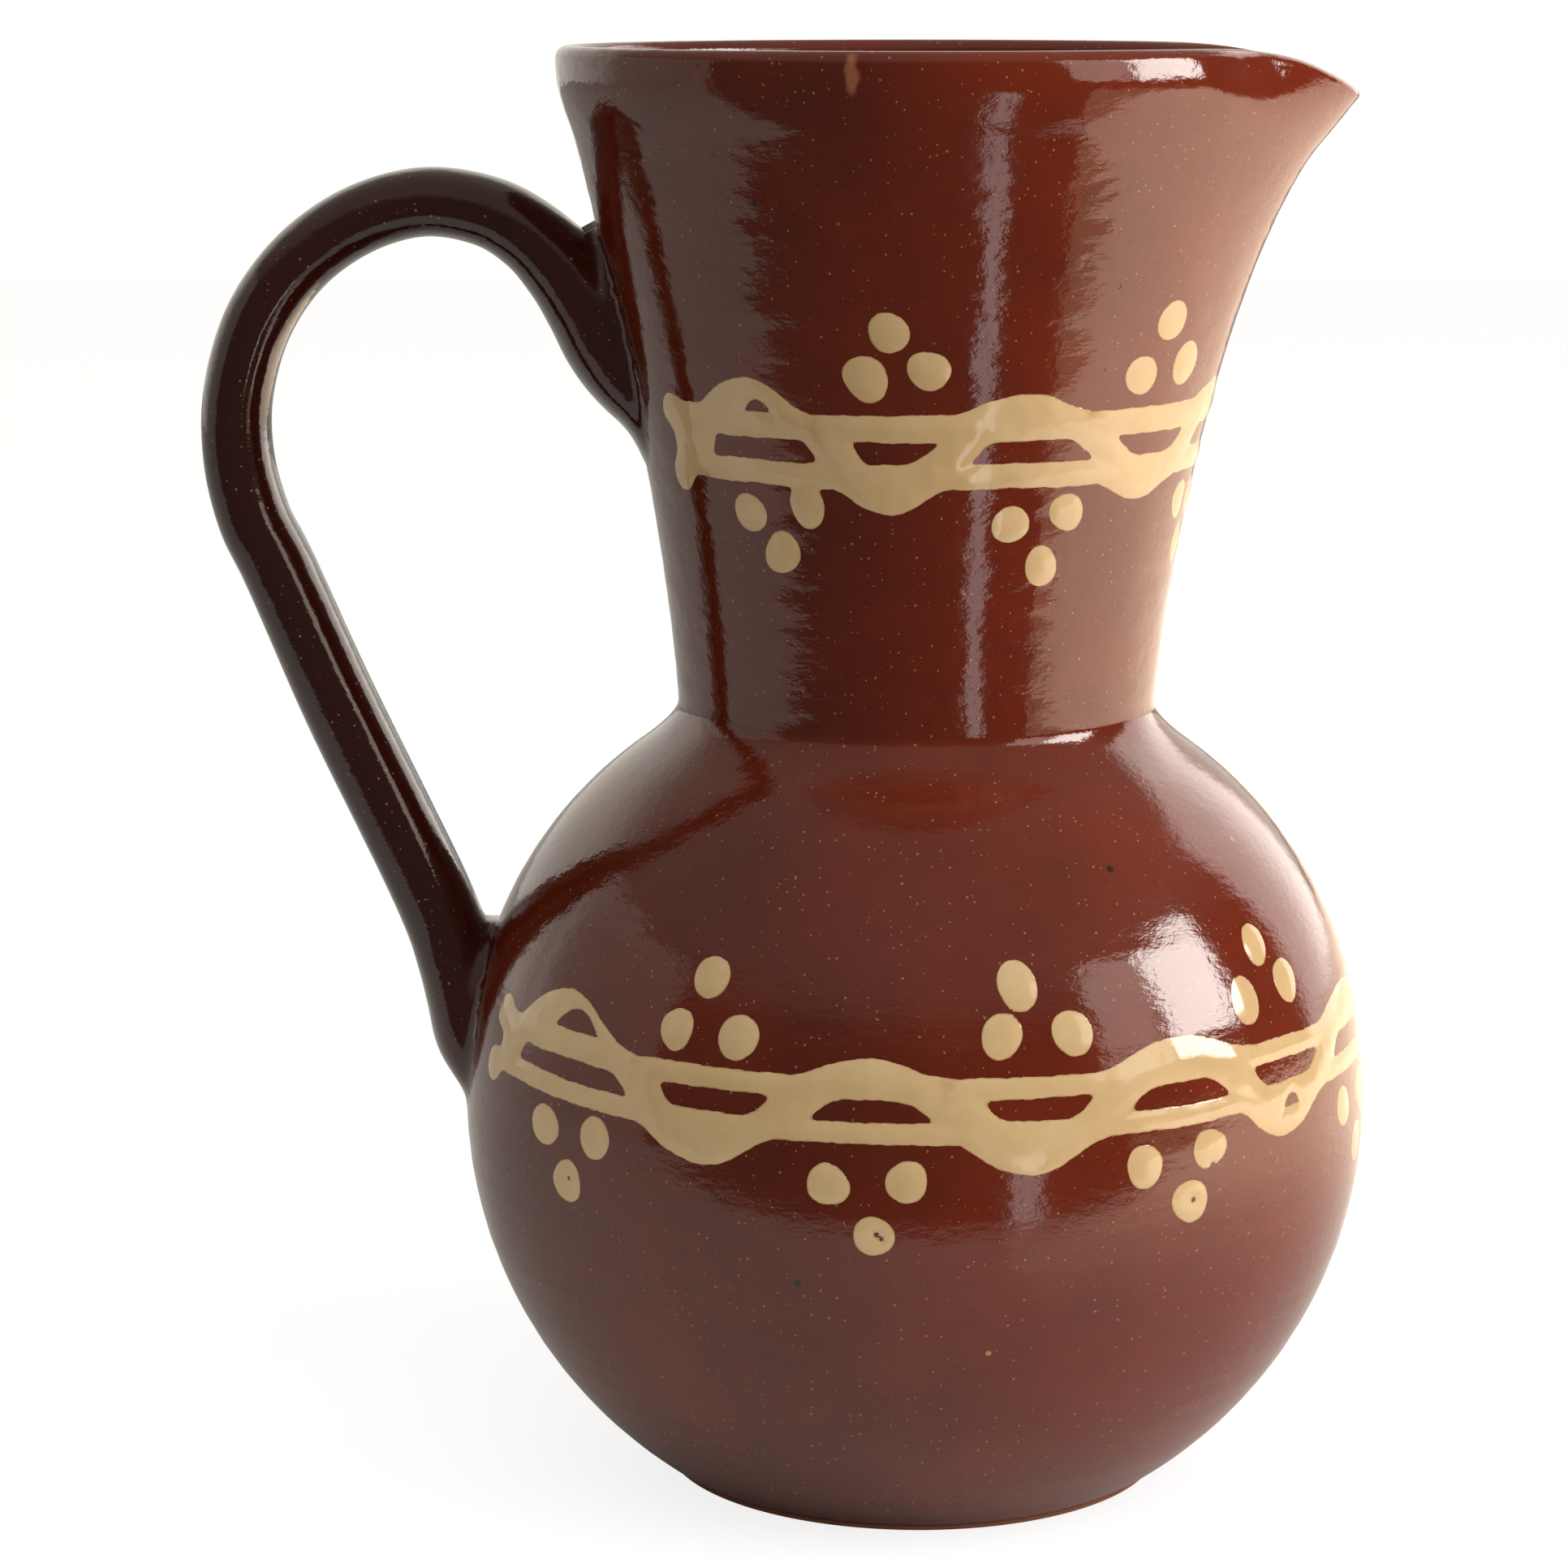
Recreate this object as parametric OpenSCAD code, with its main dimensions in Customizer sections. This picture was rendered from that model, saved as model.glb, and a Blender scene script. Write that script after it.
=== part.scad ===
// Ceramic jug: a round belly, a flared neck with a pulled spout and one looped handle.
// Two bands of cream slip run round it, each with two lines, a wave and groups of drops.
// The spout points along +X, the handle along -X, and the foot rests on z = 0.

/* [Belly] */
// Overall height, from the table to the top of the rim
jug_h = 250; // [225:1:275]
// Radius of the round belly
belly_r = 79.5; // [74:0.5:85]
// Height of the widest place of the belly
belly_z = 67; // [61:0.5:71]
// Thickness of the belly's wall
belly_wall = 5; // [3:0.5:7]
// Thickness of the floor
floor_t = 7; // [4:0.5:10]
// Height of the small bevel round the foot
heel_h = 1.2; // [0.6:0.1:2.5]

/* [Neck] */
// Outside radius at the narrowest place of the neck
neck_r = 41.5; // [37:0.5:46]
// How much the radius grows from the foot of the neck to the rim
neck_flare = 21.3; // [14:0.1:26]
// How late the neck opens: 1 is a plain cone, more keeps it narrow for longer
flare_power = 1.39; // [1:0.01:1.8]
// Thickness of the neck's wall
neck_wall = 4.4; // [3:0.1:6]
// Radius of the hollow between the neck and the shoulder
crease_r = 4; // [2:0.5:6]

/* [Spout] */
// How far the lip is pulled out of the round
spout_reach = 13.6; // [6:0.1:20]
// How far the lip's point hangs below the rim
spout_dip = 7.6; // [2:0.1:12]
// Height over which the pull fades down the neck
spout_run = 29.5; // [20:0.5:40]
// Height over which the dip fades down the neck
dip_run = 20; // [12:0.5:30]
// Angle either side of the lip at which the pull has fallen to a third
spout_angle = 24; // [16:0.5:34]
// Angle either side of the lip at which the dip has fallen to a third
dip_angle = 17; // [11:0.5:26]

/* [Handle] */
// Distance from the jug's axis to the middle of the handle where it stands furthest out
grip_reach = 118; // [110:0.5:128]
// Depth of the middle of the handle's arch below the rim
arch_drop = 61; // [54:0.5:68]
// Radius of the arch along the middle of the handle
arch_r = 34; // [30:0.5:38]
// Radius of the bend between the arch and the straight part
bend_r = 70; // [50:1:90]
// Half the handle's thickness along its arch
grip_t = 6; // [4.8:0.1:7.2]
// Half the handle's width
grip_w = 9; // [7:0.1:11]
// Depth of the lower end of the upper root below the rim
root_drop = 67; // [62:0.5:72]
// Length of the leaf-shaped upper root, pressed on the neck
leaf_len = 23.5; // [18:0.5:28]
// Half the width of the leaf-shaped upper root
leaf_w = 12.5; // [9:0.1:15]
// Half the width of the tongue-shaped lower root
tongue_w = 14.5; // [10:0.1:17]
// Height above the widest place of the belly at which the handle meets it
foot_rise = 17; // [11:0.5:23]
// Height above the widest place of the belly at which the lower root ends
tail_rise = 1; // [-4:0.5:5]

/* [Slip] */
// Thickness of the slip on the glaze
slip_t = 0.5; // [0.3:0.05:1]
// Radius of a drop of slip
drop_r = 3.8; // [2.6:0.1:4.2]
// Thickness of the trailed lines on the belly
belly_line = 3.9; // [2.5:0.1:4.6]
// Thickness of the trailed lines on the neck
neck_line = 4.7; // [3:0.1:5.4]
// Height of the windows between the two lines of a band
window_h = 3.4; // [2:0.1:5]
// Height of the belly's band above the widest place of the belly
belly_band_rise = 10.3; // [6:0.1:14]
// Height of the neck's band above the foot of the neck
neck_band_rise = 42; // [36:0.1:46]
// Half the length of a wave on the belly's band
belly_wave = 12.5; // [9:0.5:13]
// Half the length of a wave on the neck's band
neck_wave = 10.5; // [8:0.5:11]
// Height of a common wave beyond its line
wave_h = 3.5; // [2:0.1:4.4]
// Height from a band's upper edge to the pairs of drops above it
drops_above = 5.8; // [5:0.1:8]
// Height from a band's lower edge down to the pairs of drops below it
drops_below = 4.7; // [4.6:0.1:8]
// Height from a pair of drops to the middle of the single drop
drop_pitch = 8; // [7.6:0.1:10]
// Half the distance between the drops of a pair
drop_side = 5.7; // [5:0.1:7]

/* [Hidden] */

glaze = [0.36, 0.12, 0.08];
cream = [0.88, 0.75, 0.52];

// Columns round the neck, sides of the handle, and rings from one of its stations to the next
neck_columns = 72;
handle_sides = 16;
rings_per_station = 2;

// The hollow at the crease turns through this angle before it meets the shoulder
crease_turn = 60;
neck_foot_r = neck_r + crease_r * (1 - cos(crease_turn));
neck_foot_z = belly_z + sqrt(pow(belly_r, 2) - pow(neck_foot_r, 2));
crease_z = neck_foot_z + crease_r * sin(crease_turn);

// The lip is a half round as thick as the wall
lip_r = neck_wall / 2;
lip_z = jug_h - lip_r;

// The neck's bodies start inside the belly's hollow, and its hollow runs out over the rim
hidden_z = belly_z + belly_r / 2;
open_z = jug_h + 2 * neck_wall;

// Share of the spout's pull or dip that is left at an angle from the lip
function from_lip(a) = a > 180 ? a - 360 : a;
function fade(a, reach) = exp(-pow(from_lip(a) / reach, 2));

function flare(z) = neck_flare * pow(max(0, (z - crease_z) / (jug_h - crease_z)), flare_power);
function crease(z) =
    let (below = min(max(crease_z - z, 0), crease_r * sin(crease_turn)))
    crease_r - sqrt(pow(crease_r, 2) - pow(below, 2));
function neck_out(z) = neck_r + flare(z) + crease(z);
function pull(z) = z <= crease_z ? 0
    : spout_reach * (exp((z - jug_h) / spout_run) - exp((crease_z - jug_h) / spout_run));
function dip(z) = spout_dip * exp((z - jug_h) / dip_run);

// A ring of the neck at height z, moved out and up by the given distances
function neck_ring(z, out = 0, up = 0) =
    [for (i = [0:neck_columns - 1])
        let (a = i * 360 / neck_columns, r = neck_out(z) + out + pull(z) * fade(a, spout_angle))
        [r * cos(a), r * sin(a), z + up - dip(z) * fade(a, dip_angle)]];
function at_height(ring, z) = [for (p = ring) [p.x, p.y, z]];

// Heights of the rings, close together in the crease and near the lip
crease_heights = [for (a = [crease_turn:-20:0]) crease_z - crease_r * sin(a)];
plain_heights = [for (i = [1:7]) crease_z + i * (jug_h - crease_z) / 12];
lip_heights = [for (i = [1:8]) plain_heights[6] + (lip_z - plain_heights[6]) * pow(i / 8, 0.8)];
open_heights = concat(plain_heights, lip_heights);

// Closes a stack of rings, all with as many points, into one solid
module stacked(rings, bottom, top) {
    n = len(rings[0]);
    last = len(rings) - 1;
    sides = [for (i = [0:last - 1], j = [0:n - 1])
        let (k = (j + 1) % n, a = i * n + j, b = i * n + k)
        each [[a, a + n, b], [b, a + n, b + n]]];
    low = len(rings) * n;
    bottom_cap = [for (j = [0:n - 1]) [low, j, (j + 1) % n]];
    top_cap = [for (j = [0:n - 1]) [low + 1, last * n + (j + 1) % n, last * n + j]];
    polyhedron(concat([for (r = rings) each r], [bottom, top]), concat(sides, bottom_cap, top_cap));
}

// The neck's outside, filled, with the lip rounded over and a dished top
module neck_body() {
    base = at_height(neck_ring(neck_foot_z), hidden_z);
    walls = [for (z = concat(crease_heights, open_heights)) neck_ring(z)];
    lip = [for (t = [30:30:150]) neck_ring(lip_z, lip_r * (cos(t) - 1), lip_r * sin(t))];
    stacked(concat([base], walls, lip), [0, 0, hidden_z], [0, 0, lip_z - spout_dip - lip_r]);
}

// The hollow of the neck, which opens into the belly below and runs out over the rim
module neck_hollow() {
    round_r = crease_r + neck_wall;
    rounded = [for (t = [60, 30])
        neck_ring(crease_z, round_r * (1 - cos(t)) - neck_wall, -round_r * sin(t))];
    heights = concat([crease_z], [for (i = [0:2:6]) plain_heights[i]],
        [for (i = [1, 3, 5, 6, 7]) lip_heights[i]]);
    walls = [for (z = heights) neck_ring(z, -neck_wall)];
    above = at_height(neck_ring(jug_h, -neck_wall), open_z);
    stacked(concat([at_height(rounded[0], hidden_z)], rounded, walls, [above]),
        [0, 0, hidden_z], [0, 0, open_z]);
}

// The belly is a ball, cut flat for the foot with a bevelled heel
module belly_body() {
    foot_r = sqrt(pow(belly_r, 2) - pow(belly_z, 2)) - heel_h;
    heel_r = sqrt(pow(belly_r, 2) - pow(belly_z - heel_h, 2));
    far = 2 * belly_r;
    intersection() {
        translate([0, 0, belly_z]) sphere(belly_r, $fn = 128);
        rotate_extrude($fn = 128)
            polygon([[0, 0], [foot_r, 0], [heel_r, heel_h], [far, heel_h], [far, jug_h], [0, jug_h]]);
    }
}

module belly_hollow() {
    intersection() {
        translate([0, 0, belly_z]) sphere(belly_r - belly_wall, $fn = 128);
        translate([0, 0, floor_t]) cylinder(h = 2 * belly_r, r = 2 * belly_r);
    }
}

// Radius of the belly at a height
function belly_at(z) = sqrt(pow(belly_r, 2) - pow(z - belly_z, 2));

// Middle line of the handle: an arch, an easing bend and a straight part down to the belly
arch_x = arch_r - grip_reach;
arch_z = jug_h - arch_drop;
bend_x = bend_r - grip_reach;
foot_z = belly_z + foot_rise;
foot_x = -belly_at(foot_z);
tail_z = belly_z + tail_rise;
to_foot = norm([foot_x - bend_x, foot_z - arch_z]);
bend_end = 360 + atan2(foot_z - arch_z, foot_x - bend_x) - acos(bend_r / to_foot);
bend_point = [bend_x + bend_r * cos(bend_end), arch_z + bend_r * sin(bend_end)];

// Its stations are [x, z, half thickness, half width, bend round the jug], from the neck down.
// The upper root is given in shares of [leaf_len, grip_t, grip_t, leaf_w, whole bend]:
// how far above its lower end, how far off the neck, how thick, how wide and how bent.
upper_leaf = [[0, -0.17, 0.12, 0.55, 1], [0.07, -0.08, 0.25, 0.8, 1], [0.16, 0, 0.45, 0.91, 1],
    [0.36, 0.2, 0.85, 0.98, 0.9], [0.64, 0.27, 1.27, 1.02, 0.7], [1, 0.43, 1.33, 1, 0.3]];
leaf_stations = [for (s = upper_leaf)
    let (z = jug_h - root_drop + s[0] * leaf_len)
    [-neck_out(z) - s[1] * grip_t, z, s[2] * grip_t, s[3] * leaf_w, s[4]]];
arch_stations = [for (a = [54:18:180])
    let (swell = max(0, 1 - (a - 54) / 54), t = grip_t * (1 + 0.08 * swell), w = grip_w * (1 + 0.15 * swell))
    [arch_x + arch_r * cos(a), arch_z + arch_r * sin(a), t, w, 0]];
bend_stations = [for (s = [1:3])
    let (a = 180 + (bend_end - 180) * s / 3)
    [bend_x + bend_r * cos(a), arch_z + bend_r * sin(a), grip_t * (1 + s / 30), grip_w, 0]];
straight_stations = [for (s = [0.3, 0.6, 0.86])
    let (p = bend_point + s * ([foot_x, foot_z] - bend_point))
    [p.x, p.y, grip_t * (1.1 + s / 30), grip_w, 0]];
// The lower root is a short tongue pressed on the belly, given in the same way in shares of
// its own length, grip_t, grip_t, tongue_w and a whole bend
lower_tongue = [[1, 0.4, 1.13, 0.83, 0.4], [0.56, 0.13, 0.98, 1, 0.9], [0.28, 0.03, 0.73, 0.94, 1],
    [0.1, -0.03, 0.4, 0.72, 1], [0, -0.13, 0.08, 0.4, 1]];
tongue_stations = [for (s = lower_tongue)
    let (z = tail_z + s[0] * (foot_z - tail_z))
    [-belly_at(z) - s[1] * grip_t, z, s[2] * grip_t, s[3] * tongue_w, s[4]]];

stations = concat(leaf_stations, arch_stations, bend_stations, straight_stations, tongue_stations);

// A smooth curve through the stations, and the direction in which it runs
function between(a, b, c, d, t) =
    (2 * b + (c - a) * t + (2 * a - 5 * b + 4 * c - d) * t * t + (3 * b - 3 * c + d - a) * t * t * t) / 2;
function station(i) = stations[max(0, min(len(stations) - 1, i))];
function along(s) =
    let (i = floor(s))
    between(station(i - 1), station(i), station(i + 1), station(i + 2), s - i);
function heading(s) =
    let (step = 0.05, d = along(s + step) - along(s - step))
    [d.x, d.y] / norm([d.x, d.y]);
function handle_ring(s) =
    let (p = along(s), h = heading(s))
    [for (j = [0:handle_sides - 1])
        let (a = j * 360 / handle_sides, across = p[2] * cos(a), y = p[3] * sin(a))
        let (bend = p[4] * (norm([p.x, y]) + p.x))
        [p.x + bend + h.y * across, y, p.y - h.x * across]];

module handle() {
    last = len(stations) - 1;
    rings = [for (i = [0:last * rings_per_station]) handle_ring(i / rings_per_station)];
    first = station(0);
    end = station(last);
    stacked(rings, [first.x, 0, first.y], [end.x, 0, end.y]);
}

module jug() {
    color(glaze) difference() {
        union() {
            belly_body();
            neck_body();
            handle();
        }
        belly_hollow();
        neck_hollow();
    }
}

// The waves of each band: [angle round the jug, height in shares of wave_h, up or down]
belly_waves = [[-141, 2.1], [-117, -1.6], [-97, 0.9], [-77.5, -1.6], [-57, 1.2], [-38.5, -1.6],
    [-17, 1], [3, -1.6], [23, 1], [43, -1.6], [63, 1], [83, -1.6], [103, 1], [123, -1.6], [143, 1]];
neck_waves = [[-125, 1.7], [-97, -1.2], [-70, 0.9], [-38.5, -1], [-13, 1],
    [16, -1], [44, 1], [72, -1], [100, 1], [127, -1]];
// Angles either side of the lip at which each band stops short of the handle
belly_band_end = 164;
neck_band_end = 150;
belly_band_z = belly_z + belly_band_rise;
neck_band_z = crease_z + neck_band_rise;

// Turns a flat outline, drawn across and up, into a block through the surface at an angle
module through(a, surface_r) {
    depth = surface_r / 5;
    rotate([0, 0, a]) rotate([90, 0, 90]) translate([0, 0, surface_r - depth])
        linear_extrude(2 * depth) children();
}

// Everything that a band of slip covers, as blocks that reach through the surface
module band_cover(low_z, line, waves, end, half_wave, surface_r) {
    high_z = low_z + 2 * line + window_h;
    difference() {
        rotate([0, 0, -end]) rotate_extrude(angle = 2 * end, $fn = 128)
            translate([0.7 * surface_r, low_z]) square([0.6 * surface_r, high_z - low_z]);
        for (w = waves) through(w[0], surface_r) band_window(low_z + line, half_wave, sign(w[1]));
    }
    for (w = waves) through(w[0], surface_r)
        wave_outline(w[1] > 0 ? high_z : low_z, line, w[1] * wave_h, half_wave);
}

// One crest or trough of the wave, whose ends are tucked inside its line
module wave_outline(edge_z, line, rise, half_wave) {
    steps = 14;
    side = sign(rise);
    root_z = edge_z - side * line / 2;
    end_z = edge_z - side * line / 8;
    polygon(concat([[half_wave, root_z], [-half_wave, root_z]],
        [for (i = [0:steps]) let (s = 2 * i / steps - 1)
            [s * half_wave, end_z + (edge_z + rise - end_z) * (1 + cos(180 * s)) / 2]]));
}

// The dark window between the lines, wide on the side away from the wave's crest
module band_window(z, half_wave, side) {
    wide = 0.78 * half_wave;
    narrow = 0.5 * half_wave;
    low = side > 0 ? wide : narrow;
    high = side > 0 ? narrow : wide;
    polygon([[-low, z], [low, z], [high, z + window_h], [-high, z + window_h]]);
}

// Drops in threes: one over two above a trough, two over one below a crest
function drop_places(low_z, line, waves, surface_r) =
    let (above = low_z + 2 * line + window_h + drops_above, below = low_z - drops_below,
        turn = asin(drop_side / surface_r))
    [for (w = waves) each w[1] < 0
        ? [[w[0], above + drop_pitch], [w[0] - turn, above], [w[0] + turn, above]]
        : [[w[0], below - drop_pitch], [w[0] - turn, below], [w[0] + turn, below]]];

module drop_covers(places, surface_r) {
    for (p = places) through(p[0], surface_r) translate([0, p[1]]) circle(drop_r, $fn = 32);
}

// The layer on the belly that the slip fills
module belly_skin() {
    difference() {
        translate([0, 0, belly_z]) sphere(belly_r + slip_t, $fn = 128);
        translate([0, 0, belly_z]) sphere(belly_r, $fn = 128);
    }
}

// The layer on the neck that the slip fills, on the same facets as the neck
module neck_skin() {
    n = neck_columns;
    inner = [for (z = open_heights) each neck_ring(z)];
    outer = [for (z = open_heights) each neck_ring(z, slip_t)];
    size = len(inner);
    last = len(open_heights) - 1;
    walls = [for (i = [0:last - 1], j = [0:n - 1])
        let (k = (j + 1) % n, a = i * n + j, b = i * n + k)
        each [[size + a, size + a + n, size + b], [size + b, size + a + n, size + b + n],
            [a, b, a + n], [b, b + n, a + n]]];
    low_edge = [for (j = [0:n - 1])
        let (k = (j + 1) % n)
        each [[j, size + j, k], [k, size + j, size + k]]];
    high_edge = [for (j = [0:n - 1])
        let (k = last * n + (j + 1) % n, m = last * n + j)
        each [[m, k, size + m], [k, size + k, size + m]]];
    polyhedron(concat(inner, outer), concat(walls, low_edge, high_edge));
}

module neck_band() {
    color(cream) intersection() {
        neck_skin();
        band_cover(neck_band_z, neck_line, neck_waves, neck_band_end, neck_wave, neck_out(neck_band_z));
    }
}

module neck_drops() {
    surface_r = neck_out(neck_band_z);
    color(cream) intersection() {
        neck_skin();
        drop_covers(drop_places(neck_band_z, neck_line, neck_waves, surface_r), surface_r);
    }
}

module belly_band() {
    color(cream) intersection() {
        belly_skin();
        band_cover(belly_band_z, belly_line, belly_waves, belly_band_end, belly_wave, belly_r);
    }
}

module belly_drops() {
    color(cream) intersection() {
        belly_skin();
        drop_covers(drop_places(belly_band_z, belly_line, belly_waves, belly_r), belly_r);
    }
}

jug();
neck_band();
neck_drops();
belly_band();
belly_drops();
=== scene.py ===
import math
import bpy
import numpy as np
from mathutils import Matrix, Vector


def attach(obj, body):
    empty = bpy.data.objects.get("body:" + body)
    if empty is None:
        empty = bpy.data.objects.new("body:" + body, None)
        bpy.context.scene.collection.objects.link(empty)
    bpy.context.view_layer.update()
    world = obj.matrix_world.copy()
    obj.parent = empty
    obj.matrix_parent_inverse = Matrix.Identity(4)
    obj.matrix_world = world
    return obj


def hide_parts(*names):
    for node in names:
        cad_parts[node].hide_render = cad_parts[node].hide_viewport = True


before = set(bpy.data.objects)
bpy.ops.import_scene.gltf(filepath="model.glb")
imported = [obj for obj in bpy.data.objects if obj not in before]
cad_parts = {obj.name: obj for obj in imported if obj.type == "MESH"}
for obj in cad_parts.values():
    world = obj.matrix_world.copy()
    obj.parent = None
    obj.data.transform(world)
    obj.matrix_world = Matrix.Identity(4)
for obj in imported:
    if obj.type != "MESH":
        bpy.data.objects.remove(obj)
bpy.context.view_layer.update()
mm = 0.001                  # every shape below is worked out in millimetres
print("frame loaded")

pot = {
    "height": 250.0,
    "bellyRadius": 79.4,
    "bellyMiddle": 66.45,   # height of the widest place
    "bellyRise": 77.0,      # the upper half, if the neck didn't cut it
    "bellyPower": 2.11,     # 2 is a plain ball, more is squarer
    "bellyFall": 78.9,      # the lower half
    "neckRadius": 41.5,
    "neckFoot": 135.4,
    "neckFlare": 21.3,
    "flarePower": 1.39,
    "rimBead": 0.7,         # the neck thickens a little below the rim
    "beadHeight": 242.0,
    "beadReach": 6.0,
    "creaseFrom": 100.0,    # above this the neck can join the belly
    "creaseSoftness": 8.0,
    "bellyWall": 5.0,
    "neckWall": 4.4,
    "wallThins": [105.0, 150.0],
    "wallEvenness": 40,     # samples the inner profile is smoothed over
    "floorStart": 5.0,
    "floorHeight": 7.0,
    "floorSoftness": 7.0,
    "floorRings": 10,
    "heelRadius": 1.0,
    "heelDepth": 0.9,
    "lipFoot": 247.8,       # where the wall ends and the lip's rounding begins
    # marks of throwing outside: depth, then the pace and start of each wave
    "rings": 0.012,
    "ringWaves": [[0.61, 0.0], [1.03, 1.0], [1.41, 4.0]],
    "ringsTop": 247.0,
    "ringsTopFade": 6.0,
    "ringsFootFade": 8.0,
    "innerRings": 0.22,
    "innerPace": 0.75,
    "innerTop": 246.0,
    "innerTopFade": 12.0,
    "innerFloorFade": 30.0,
    "columns": 192,
    "rowStep": 1.3,
    "innerRowStep": 3.2,
    "turnStep": 0.09,       # radians between rows where the profile turns sharply
    "lipStep": 18,
    "samples": 2400,
}

spout = {
    "reach": 13.6,
    "hang": 7.6,            # how far the lip's point hangs below the rim
    "reachRun": 29.5,       # how fast the pull fades down the neck
    "hangRun": 20.0,
    "reachAngle": 24.0,
    "hangAngle": 17.0,
    # the fingers left the last millimetres below the rim upright, most beside the spout
    "pinchAngle": 29.0,
    "pinchReach": 9.0,
    "pinchBand": 3.8,
    "pinchLean": 0.10,
    "lipBand": 4.3,
    "lipLean": 0.13,
    "leanCurve": 1.5,
    "sideLean": 0.24,
    "sideEnd": 88.0,
    "sideFade": 25.0,
    "tipAngle": 4.0,        # the very tip isn't pressed
    "tipFade": 10.0,
}


def softMax(a, b, k):
    h = np.clip(k - np.abs(a - b), 0, None) / k
    return np.maximum(a, b) + h * h * k / 4


def softMin(a, b, k):
    return -softMax(-a, -b, k)


def outerRadius(z):
    z = np.asarray(z, float)
    up = np.clip((z - pot["bellyMiddle"]) / pot["bellyRise"], 0, 1)
    down = np.clip((pot["bellyMiddle"] - z) / pot["bellyFall"], 0, 1)
    power = pot["bellyPower"]
    belly = pot["bellyRadius"] * np.where(
        z > pot["bellyMiddle"], (1 - up ** power) ** (1 / power), np.sqrt(1 - down ** 2))
    share = np.clip((z - pot["neckFoot"]) / (pot["height"] - pot["neckFoot"]), 0, None)
    neck = (pot["neckRadius"] + pot["neckFlare"] * share ** pot["flarePower"]
            + pot["rimBead"] * np.exp(-((z - pot["beadHeight"]) / pot["beadReach"]) ** 2))
    joined = np.where(z > pot["creaseFrom"], softMax(belly, neck, pot["creaseSoftness"]), belly)
    rings = pot["rings"] * sum(np.sin(z * pace + start) for pace, start in pot["ringWaves"])
    return (joined + rings * np.clip(z / pot["ringsFootFade"], 0, 1)
            * np.clip((pot["ringsTop"] - z) / pot["ringsTopFade"], 0, 1))


def fade(angle, reach):
    return np.exp(-(np.degrees(angle) / reach) ** 2)


def spoutPull(z):
    low = math.exp((pot["neckFoot"] - pot["height"]) / spout["reachRun"])
    pull = spout["reach"] * (np.exp((z - pot["height"]) / spout["reachRun"]) - low)
    return np.where(z > pot["neckFoot"], pull, 0)


def spoutHang(z):
    foot = math.exp(-pot["height"] / spout["hangRun"])
    return spout["hang"] * (np.exp((z - pot["height"]) / spout["hangRun"]) - foot)


# How far the rim was pressed in, over the lip band
def lipPress(angle, z):
    side = np.abs(np.degrees(angle))
    pinch = np.exp(-((side - spout["pinchAngle"]) / spout["pinchReach"]) ** 2)
    band = spout["lipBand"] + spout["pinchBand"] * pinch
    share = np.clip((z - pot["lipFoot"] + band) / band, 0, 1)
    beside = np.clip((spout["sideEnd"] - side) / spout["sideFade"], 0, 1)
    offTip = np.clip((side - spout["tipAngle"]) / spout["tipFade"], 0, 1)
    lean = (spout["lipLean"] + spout["sideLean"] * beside + spout["pinchLean"] * pinch) * offTip
    return lean * band * share ** spout["leanCurve"] / spout["leanCurve"]


# A point on the pot: angle 0 is the spout, z is the height before the spout was pulled
def potPoint(angle, radius, z):
    angle, radius, z = np.broadcast_arrays(angle, radius, z)
    r = radius + spoutPull(z) * fade(angle, spout["reachAngle"]) - lipPress(angle, z)
    up = z - spoutHang(z) * fade(angle, spout["hangAngle"])
    return np.stack([r * np.cos(angle), r * np.sin(angle), up], -1)


def alongProfile(r, z, step):
    length = np.concatenate([[0], np.cumsum(np.hypot(np.diff(r), np.diff(z)))])
    turn = np.unwrap(np.arctan2(np.gradient(r), np.gradient(z)))
    dense = 1 / step + np.abs(np.gradient(turn, length)) / pot["turnStep"]
    count = np.concatenate([[0], np.cumsum((dense[1:] + dense[:-1]) / 2 * np.diff(length))])
    marks = np.linspace(0, count[-1], int(count[-1]) + 1)
    at = np.interp(marks, count, length)
    return np.interp(at, length, r), np.interp(at, length, z)


def makeMesh(name, points, faces):
    mesh = bpy.data.meshes.new(name)
    mesh.from_pydata((np.asarray(points) * mm).tolist(), [], faces)
    mesh.polygons.foreach_set("use_smooth", [True] * len(mesh.polygons))
    mesh.update()
    piece = bpy.data.objects.new(name, mesh)
    bpy.context.scene.collection.objects.link(piece)
    return piece


# Quads between rows of equal length that close on themselves
def ringFaces(rows, columns):
    i, j = np.meshgrid(np.arange(rows - 1), np.arange(columns), indexing="ij")
    k = (j + 1) % columns
    return np.stack([i * columns + j, i * columns + k, (i + 1) * columns + k,
                     (i + 1) * columns + j], -1).reshape(-1, 4).tolist()


# The inner profile, from the lip down to the floor: the outer one moved in by the wall
def innerProfile():
    z = np.linspace(pot["floorStart"], pot["lipFoot"], pot["samples"])
    r = outerRadius(z)
    even = pot["wallEvenness"]
    window = np.ones(2 * even + 1) / (2 * even + 1)
    slope = np.convolve(np.pad(np.gradient(r, z), even, "edge"), window, "valid")
    wall = np.interp(z, pot["wallThins"], [pot["bellyWall"], pot["neckWall"]])
    away = 1 / np.hypot(1, slope)
    floor = np.full_like(z, pot["floorHeight"])
    inZ = softMax(z + wall * slope * away, floor, pot["floorSoftness"])
    inZ = np.maximum.accumulate(inZ)
    return alongProfile((r - wall * away)[::-1], inZ[::-1], pot["innerRowStep"])


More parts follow.
